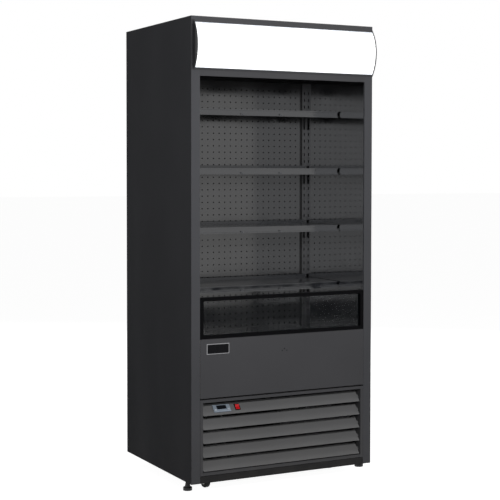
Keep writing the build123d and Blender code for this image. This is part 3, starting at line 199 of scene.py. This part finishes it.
def brushed_metal(name, colour, roughness, lines=(1.0, 1.0, 0.02), scale=900.0, depth=0.02,
                  metallic=1.0):
    """Rolled or brushed metal with fine lines along one direction and cloudy handling marks."""
    g = Graph(name)
    brushed = g.noise(scale, 3.0, g.stretched(lines))
    clouds = g.noise(4.0, 4.0)
    streaks = g.spread(brushed, 0.3, 0.7, 0.0, 1.0)
    shade = g.mix(streaks, tone(colour, 0.9), tone(colour, 1.08))
    shade = g.mix(g.spread(clouds, 0.4, 0.7, 0.0, 0.25), shade, tone(colour, 0.82))
    rough = g.spread(clouds, 0.3, 0.7, roughness * 0.75, roughness * 1.35)
    g.set(Base_Color=shade, Metallic=metallic, Roughness=rough)
    g.set(Normal=g.bump(brushed, depth * MM, 0.5))
    return g.material


def plastic(name, colour, roughness=0.4, specular=0.4, grain=0.4, wear_and_highlight=0.15, scuff=0.06):
    """Moulded plastic with a fine spark-eroded grain and paler edges, partly abraded and partly a
    painted highlight.
    """
    g = Graph(name)
    clouds = g.spread(g.noise(9.0, 4.0), 0.35, 0.65, 0.0, 1.0)
    shade = g.mix(clouds, tone(colour, 1 - scuff), tone(colour, 1 + scuff))
    # Paler edges: partly abrasion, partly a painted highlight in place of rounded edges catching
    # the light.
    rubbed_and_highlit = g.math("MULTIPLY", g.edges(0.8 * MM), wear_and_highlight)
    shade = g.mix(rubbed_and_highlit, shade, tone(colour, 2.4))
    rough = g.spread(g.noise(26.0, 4.0), 0.3, 0.7, roughness - 0.06, roughness + 0.08)
    eroded = g.noise(900.0, 2.0)
    g.set(Base_Color=shade, Roughness=rough, Normal=g.bump(eroded, 0.05 * MM, grain))
    g.set(Specular_IOR_Level=specular)
    return g.material


def rubber(name, colour):
    """Grey tyre rubber, dusty where it rolls."""
    g = Graph(name)
    dusty = g.spread(g.noise(90.0, 5.0), 0.4, 0.68, 0.0, 0.6)
    shade = g.mix(dusty, tone(colour, 0.9), (0.11, 0.105, 0.095, 1.0))
    g.set(Base_Color=shade, Roughness=g.spread(dusty, 0.0, 0.6, 0.62, 0.85))
    g.set(Normal=g.bump(g.noise(700.0, 3.0), 0.1 * MM, 0.5), Specular_IOR_Level=0.25)
    return g.material


def foam_material(name):
    """Cream polyurethane foam with open cells."""
    g = Graph(name)
    cells = g.add("ShaderNodeTexVoronoi", {"Vector": g.coords, "Scale": 420.0})
    shade = g.mix(g.noise(12.0, 4.0), (0.62, 0.5, 0.24, 1.0), (0.75, 0.65, 0.36, 1.0))
    pitted = g.bump(cells.outputs["Distance"], 0.5 * MM, 0.7)
    g.set(Base_Color=shade, Roughness=0.9, Normal=pitted)
    return g.material


def pane_material(name):
    """Clear float glass with faint smears: most light passes straight through it."""
    g = Graph(name)
    smears = g.noise(7.0, 5.0, g.stretched((1.0, 1.0, 2.5)))
    tint = g.mix(g.noise(3.0, 2.0), (0.020, 0.028, 0.032, 1.0), (0.028, 0.036, 0.040, 1.0))
    g.set(Base_Color=tint, Roughness=g.spread(smears, 0.45, 0.75, 0.06, 0.16))
    g.set(Alpha=0.035, Specular_IOR_Level=0.2)
    return g.material


def diffuser_material(name, low, high):
    """Opal acrylic whose light from the lamps behind it is painted on as its own glow, dimmer and
    bluer along its edges at heights low and high.
    """
    g = Graph(name)
    up = g.spread(g.height(), low, high, 0.0, 1.0)
    mottle = g.spread(g.noise(6.0, 3.0), 0.3, 0.7, -0.03, 0.03)
    glow = g.add("ShaderNodeValToRGB", {"Fac": g.math("ADD", up, mottle)})
    stops = glow.color_ramp.elements
    stops[0].position, stops[0].color = 0.0, (0.60, 0.64, 0.70, 1.0)
    stops[1].position, stops[1].color = 1.0, (0.14, 0.17, 0.23, 1.0)
    for place in (0.05, 0.90):
        stops.new(place).color = grey(0.80)
    skin = g.mix(g.noise(300.0, 2.0), (0.86, 0.87, 0.88, 1.0), (0.9, 0.9, 0.9, 1.0))
    g.set(Base_Color=skin, Roughness=0.35)
    # Painted light: the diffuser glows by itself in place of the lamps shining through it.
    g.set(Emission_Color=glow.outputs["Color"], Emission_Strength=1.0)
    g.set(Normal=g.bump(g.noise(500.0, 2.0), 0.02 * MM, 0.3), Specular_IOR_Level=0.3)
    return g.material


def lamp_material(name):
    """Frosted lamp tubes, which glow."""
    g = Graph(name)
    frost = g.mix(g.noise(40.0, 2.0), (0.85, 0.86, 0.88, 1.0), (0.95, 0.95, 0.95, 1.0))
    g.set(Base_Color=frost, Roughness=0.3)
    g.set(Emission_Color=(1.0, 0.98, 0.95, 1.0), Emission_Strength=1.5)
    return g.material


def display_material(name):
    """Smoked lens of the temperature display."""
    g = Graph(name)
    smoke = g.mix(g.noise(60.0, 3.0), (0.004, 0.005, 0.007, 1.0), (0.010, 0.011, 0.014, 1.0))
    g.set(Base_Color=smoke, Roughness=g.spread(g.noise(90.0, 4.0), 0.4, 0.7, 0.05, 0.14))
    g.set(Specular_IOR_Level=0.5)
    return g.material


# ---------------------------------------------------------------- finishes
COATS = {
    "grey_paint": dict(colour=(0.066, 0.066, 0.070), dust=0.12),
    "side_paint": dict(colour=(0.073, 0.074, 0.080), roughness=0.6, specular=0.01, dust=0.10),
    "dark_paint": dict(colour=(0.020, 0.020, 0.022), specular=0.15, dust=0.25),
    "slat_paint": dict(colour=(0.130, 0.130, 0.132), roughness=0.45, dust=0.10),
    "kick_paint": dict(colour=(0.013, 0.013, 0.014), specular=0.10, dust=0.10),
    "deck_paint": dict(colour=(0.030, 0.032, 0.036), roughness=0.12, specular=0.5, peel=0.1,
                       cloud=0.03, wear_and_highlight=0.0),
    "liner_paint": dict(colour=(0.018, 0.018, 0.019), roughness=0.13, specular=0.95, peel=0.05,
                        cloud=0.03, wear_and_highlight=0.0),
    # Near-black and matte: painted shade inside the air duct seen through the perforations.
    "duct_painted_shade": dict(colour=(0.010, 0.010, 0.011), roughness=0.6, specular=0.02, wear_and_highlight=0.0),
    # Near-black and matte: painted shade on the ceiling under the canopy.
    "ceiling_painted_shade": dict(colour=(0.008, 0.008, 0.009), roughness=0.6, specular=0.02, wear_and_highlight=0.0),
    "upright_paint": dict(colour=(0.032, 0.032, 0.034), roughness=0.25, specular=0.7, peel=0.1,
                          wear_and_highlight=0.6),
    "shelf_paint": dict(colour=(0.014, 0.015, 0.018), roughness=0.13, specular=0.6, peel=0.1,
                        cloud=0.03, wear_and_highlight=0.3),
    "compressor_paint": dict(colour=(0.008, 0.008, 0.009), roughness=0.4, specular=0.4, peel=0.7),
}
METALS = {
    "polished_steel": dict(colour=(0.66, 0.67, 0.69), roughness=0.07, depth=0.006),
    "badge_metal": dict(colour=(0.30, 0.30, 0.31), roughness=0.25, lines=(0.02, 1.0, 1.0),
                        scale=1400.0),
    # Darker and less metallic than bare aluminium: painted shade, as the coil sits in shadow
    # behind the louvres.
    "coil_aluminium": dict(colour=(0.10, 0.10, 0.105), roughness=0.55, metallic=0.5),
    "shroud_steel": dict(colour=(0.38, 0.39, 0.41), roughness=0.45),
    "zinc_steel": dict(colour=(0.40, 0.40, 0.39), roughness=0.38, lines=(1.0, 1.0, 0.2),
                       scale=300.0),
}
PLASTICS = {
    "rail_plastic": dict(colour=(0.016, 0.017, 0.020), roughness=0.12, specular=1.0, grain=0.05,
                         scuff=0.03),
    "black_plastic": dict(colour=(0.003, 0.003, 0.0035), roughness=0.42, specular=0.03),
    "fixing_steel": dict(colour=(0.004, 0.004, 0.005), roughness=0.35, specular=0.12, grain=0.1),
    "badge_enamel": dict(colour=(0.003, 0.003, 0.004), roughness=0.3, specular=0.08, grain=0.05,
                         wear_and_highlight=0.0),
    "tab_plastic": dict(colour=(0.060, 0.062, 0.068), roughness=0.25, specular=0.6, grain=0.1),
    "controller_plastic": dict(colour=(0.22, 0.26, 0.31), roughness=0.35, specular=0.5),
    "key_plastic": dict(colour=(0.42, 0.45, 0.50), roughness=0.35, specular=0.5),
    "red_plastic": dict(colour=(0.52, 0.006, 0.010), roughness=0.28, specular=0.5, grain=0.1),
    "cap_plastic": dict(colour=(0.020, 0.020, 0.022), roughness=0.42, specular=0.35),
    "fan_plastic": dict(colour=(0.012, 0.012, 0.013)),
    "tray_plastic": dict(colour=(0.045, 0.045, 0.048), roughness=0.5),
    "foot_plastic": dict(colour=(0.008, 0.008, 0.009), roughness=0.5),
}
diffuser_low, diffuser_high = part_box("sign_diffuser")
paint = {
    "foam": foam_material("foam"),
    "clear_glass": pane_material("clear_glass"),
    "display_lens": display_material("display_lens"),
    "white_diffuser": diffuser_material("white_diffuser", diffuser_low.z, diffuser_high.z),
    "lamp_glass": lamp_material("lamp_glass"),
    "wheel_rubber": rubber("wheel_rubber", (0.030, 0.034, 0.032)),
}
for make_finish, rows in ((powder_coat, COATS), (brushed_metal, METALS), (plastic, PLASTICS)):
    for finish, values in rows.items():
        paint[finish] = make_finish(finish, **values)

# Nodes whose finish isn't that of their slot.
OWN_FINISH = {
    "left_side_panel": "side_paint",
    "right_side_panel": "side_paint",
    "louvre_slats": "slat_paint",
    "base_tray": "kick_paint",
    "deck_pan": "deck_paint",
    "return_air_grille": "deck_paint",
    "ceiling_liner": "ceiling_painted_shade",
    "rear_and_floor_liner": "duct_painted_shade",
}
for part in frame["record"]["subparts"]:
    finish = OWN_FINISH.get(part["node"], part["material_slot"])
    for material_slot in nodes[part["node"]].material_slots:
        material_slot.material = paint[finish]


# ---------------------------------------------------------------- stage
def seen_directly(tree):
    """1 for rays from the camera, off gloss and through glass, and 0 for any other light."""
    path = tree.nodes.new("ShaderNodeLightPath")
    seen = path.outputs["Is Camera Ray"]
    for kind in ("Is Glossy Ray", "Is Transmission Ray"):
        either = tree.nodes.new("ShaderNodeMath")
        either.operation = "MAXIMUM"
        tree.links.new(seen, either.inputs[0])
        tree.links.new(path.outputs[kind], either.inputs[1])
        seen = either.outputs[0]
    return seen


def make_world():
    """White to the camera, to mirrors and through glass; a weak even light on everything else."""
    world = bpy.data.worlds.new("studio")
    bpy.context.scene.world = world
    world.use_nodes = True
    tree = world.node_tree
    tree.nodes.clear()
    level = tree.nodes.new("ShaderNodeMapRange")
    level.inputs["To Min"].default_value = AMBIENT
    level.inputs["To Max"].default_value = 1.0
    tree.links.new(seen_directly(tree), level.inputs["Value"])
    background = tree.nodes.new("ShaderNodeBackground")
    background.inputs["Color"].default_value = grey(1.0)
    tree.links.new(level.outputs["Result"], background.inputs["Strength"])
    output = tree.nodes.new("ShaderNodeOutputWorld")
    tree.links.new(background.outputs[0], output.inputs["Surface"])


def floor_material():
    """White to the camera apart from the object's soft shadow, and dim as a source of light."""
    g = Graph("studio_floor")
    seen = seen_directly(g.tree)
    tint = g.mix(g.noise(1.2, 3.0), grey(0.38), grey(0.42))
    g.set(Base_Color=g.mix(seen, grey(0.10), tint), Roughness=0.9, Specular_IOR_Level=0.0)
    g.set(Emission_Color=g.mix(seen, grey(0.0), grey(FLOOR_WHITE)), Emission_Strength=1.0)
    return g.material


def make_floor():
    """A wide flat floor under the object."""
    mesh = bpy.data.meshes.new("studio_floor")
    corners = [(x * FLOOR_REACH, y * FLOOR_REACH, 0)
               for x, y in ((-1, -1), (1, -1), (1, 1), (-1, 1))]
    mesh.from_pydata(corners, [], [(0, 1, 2, 3)])
    floor = bpy.data.objects.new("studio_floor", mesh)
    mesh.materials.append(floor_material())
    bpy.context.scene.collection.objects.link(floor)


def area_light(name, place, target, size, power):
    """A lamp that faces its target and is seen neither by the camera nor in gloss."""
    data = bpy.data.lights.new(name, "AREA")
    data.shape = "RECTANGLE"
    data.size, data.size_y = size
    data.energy = power
    light = bpy.data.objects.new(name, data)
    light.location = place
    facing = (Vector(target) - Vector(place)).to_track_quat("-Z", "Y")
    light.rotation_euler = facing.to_euler()
    light.visible_camera = False
    light.visible_glossy = False
    bpy.context.scene.collection.objects.link(light)


def make_camera():
    """The camera at the photograph's viewpoint, turned right and down from straight ahead."""
    yaw, pitch, roll = (math.radians(turn) for turn in (CAMERA_YAW, CAMERA_PITCH, CAMERA_ROLL))
    look = Vector((math.sin(yaw) * math.cos(pitch), math.cos(yaw) * math.cos(pitch),
                   -math.sin(pitch)))
    level = Vector((math.cos(yaw), -math.sin(yaw), 0.0))
    up = level.cross(look)
    right = level * math.cos(roll) + up * math.sin(roll)
    top = up * math.cos(roll) - level * math.sin(roll)
    data = bpy.data.cameras.new("camera")
    data.sensor_width = SENSOR_WIDTH
    data.lens = CAMERA_LENS
    data.shift_y = CAMERA_SHIFT
    camera = bpy.data.objects.new("camera", data)
    place = Matrix((right, top, -look)).transposed().to_4x4()
    place.translation = CAMERA_PLACE
    camera.matrix_world = place
    bpy.context.scene.collection.objects.link(camera)
    bpy.context.scene.camera = camera


make_camera()
make_world()
make_floor()
for lamp in LAMPS:
    area_light(*lamp)
bpy.context.scene.view_settings.view_transform = "Standard"


# ---------------------------------------------------------------- mesh helpers
def piece_from(name, mesh, material, body):
    """A mesh put in the scene as a piece that rides on a body."""
    obj = bpy.data.objects.new(name, mesh)
    mesh.materials.append(paint[material])
    bpy.context.scene.collection.objects.link(obj)
    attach(obj, body)
    return obj


def finished(name, work):
    """A mesh from a bmesh, with outward faces. The bmesh is used up."""
    bmesh.ops.recalc_face_normals(work, faces=work.faces)
    mesh = bpy.data.meshes.new(name)
    work.to_mesh(mesh)
    work.free()
    return mesh


def islands(mesh):
    """The low and high corner of each separate solid of a mesh."""
    work = bmesh.new()
    work.from_mesh(mesh)
    bmesh.ops.remove_doubles(work, verts=work.verts, dist=1e-6)
    work.verts.index_update()
    seen = set()
    found = []
    for start in work.verts:
        if start.index in seen:
            continue
        seen.add(start.index)
        group = [start]
        for vert in group:
            for edge in vert.link_edges:
                other = edge.other_vert(vert)
                if other.index not in seen:
                    seen.add(other.index)
                    group.append(other)
        columns = list(zip(*(vert.co for vert in group)))
        found.append((Vector(map(min, columns)), Vector(map(max, columns))))
    work.free()
    return found


def ring_of(work, centre, radius, y):
    """A round ring of new vertices in an upright plane."""
    sides = 28
    turns = (2 * math.pi / sides * k for k in range(sides))
    return [work.verts.new((centre.x + radius * math.cos(turn), y,
                            centre.z + radius * math.sin(turn))) for turn in turns]


def join_rings(work, rings):
    """Faces between each ring and the next, and over the first and the last."""
    for near, far in zip(rings, rings[1:]):
        for k in range(len(near)):
            after = (k + 1) % len(near)
            work.faces.new((near[k], near[after], far[after], far[k]))
    work.faces.new(rings[0])
    work.faces.new(rings[-1])


def pan_head(work, centre, radius, front, back):
    """A low domed screw head that faces the front."""
    height = back - front
    profile = ((1.0, 1.0), (1.0, 0.55), (0.93, 0.25), (0.78, 0.06), (0.6, 0.0))
    rings = [ring_of(work, centre, radius * across, front + height * deep)
             for across, deep in profile]
    join_rings(work, rings)


def cross_cutter(work, centre, radius, front, depth, turn):
    """A plus-shaped prism for the recess of a screw, narrower at its inner end."""
    arm, half = 0.62 * radius, 0.13 * radius
    corners = ((half, half), (half, arm), (-half, arm), (-half, half),
               (-arm, half), (-arm, -half), (-half, -half), (-half, -arm),
               (half, -arm), (half, -half), (arm, -half), (arm, half))
    rings = []
    for y, size in ((front - depth, 1.0), (front + depth, 0.8)):
        ring = []
        for x, z in corners:
            side = (x * math.cos(turn) - z * math.sin(turn)) * size
            rise = (x * math.sin(turn) + z * math.cos(turn)) * size
            ring.append(work.verts.new((centre.x + side, y, centre.z + rise)))
        rings.append(ring)
    join_rings(work, rings)


def cut_from(name, mesh, cutter):
    """The mesh that is left when the cutter is taken away."""
    body = bpy.data.objects.new(name + "_blank", mesh)
    tool = bpy.data.objects.new(name + "_tool", cutter)
    for obj in (body, tool):
        bpy.context.scene.collection.objects.link(obj)
    modifier = body.modifiers.new("recess", "BOOLEAN")
    modifier.operation = "DIFFERENCE"
    modifier.solver = "EXACT"
    modifier.object = tool
    bpy.context.view_layer.update()
    depsgraph = bpy.context.evaluated_depsgraph_get()
    result = bpy.data.meshes.new_from_object(body.evaluated_get(depsgraph))
    for obj in (body, tool):
        bpy.data.objects.remove(obj)
    result.materials.clear()
    return result


def rounded_plate(work, low, high, radius, lip):
    """A plate that faces the front, with round corners and a chamfered front edge."""
    steps = 4
    corners = []
    for sx, sz, start in ((1, 1, 0), (-1, 1, 90), (-1, -1, 180), (1, -1, 270)):
        cx = (high.x if sx > 0 else low.x) - sx * radius
        cz = (high.z if sz > 0 else low.z) - sz * radius
        for step in range(steps + 1):
            angle = math.radians(start + 90 / steps * step)
            corners.append((cx, cz, math.cos(angle), math.sin(angle)))
    rings = []
    for y, reach in ((high.y, radius), (low.y + lip, radius), (low.y, radius - lip)):
        rings.append([work.verts.new((cx + reach * ax, y, cz + reach * az))
                      for cx, cz, ax, az in corners])
    join_rings(work, rings)


# ---------------------------------------------------------------- pieces
def screws():
    """Cross-head screws where the CAD has plain heads."""
    heads, crosses = bmesh.new(), bmesh.new()
    for index, (low, high) in enumerate(islands(nodes["panel_fixings"].data)):
        centre = (low + high) / 2
        radius = (high.x - low.x) / 2
        pan_head(heads, centre, radius, low.y, low.y + SCREW_HEIGHT)
        turn = FIRST_TURN + NEXT_TURN * index
        cross_cutter(crosses, centre, radius, low.y, RECESS_DEPTH, turn)
    mesh = cut_from("screws", finished("screw_heads", heads), finished("screw_crosses", crosses))
    piece = piece_from("cross_head_screws", mesh, "fixing_steel", "cabinet")
    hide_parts("panel_fixings")


def badge_inlay():
    """The blank dark enamel field inside the badge's border."""
    low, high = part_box("badge_plate")
    work = bmesh.new()
    rounded_plate(work,
                  Vector((low.x + BADGE_BORDER, low.y + ENAMEL_FRONT, low.z + BADGE_BORDER)),
                  Vector((high.x - BADGE_BORDER, low.y + ENAMEL_BACK, high.z - BADGE_BORDER)),
                  ENAMEL_CORNER, ENAMEL_LIP)
    mesh = finished("badge_inlay", work)
    piece_from("badge_inlay", mesh, "badge_enamel", "cabinet")


def clip_tabs():
    """The snap tabs of the ticket rails' clips, each with its dark pin."""
    for shelf in SHELVES:
        low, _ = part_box(f"ticket_rail_{shelf}")
        tabs, pins = bmesh.new(), bmesh.new()
        for side in CLIP_SIDES:
            rounded_plate(tabs,
                          Vector((side - TAB_HALF_WIDTH, low.y - TAB_PROUD, low.z + TAB_BOTTOM)),
                          Vector((side + TAB_HALF_WIDTH, low.y + TAB_SUNK, low.z + TAB_TOP)),
                          TAB_CORNER, TAB_LIP)
            centre = Vector((side, 0.0, low.z + PIN_HEIGHT))
            pan_head(pins, centre, PIN_RADIUS, low.y - PIN_PROUD, low.y + PIN_SUNK)
        for kind, work, finish in (("tabs", tabs, "tab_plastic"), ("pins", pins, "black_plastic")):
            name = f"rail_{kind}_{shelf}"
            piece_from(name, finished(name, work), finish, f"shelf_{shelf}")


screws()
badge_inlay()
clip_tabs()
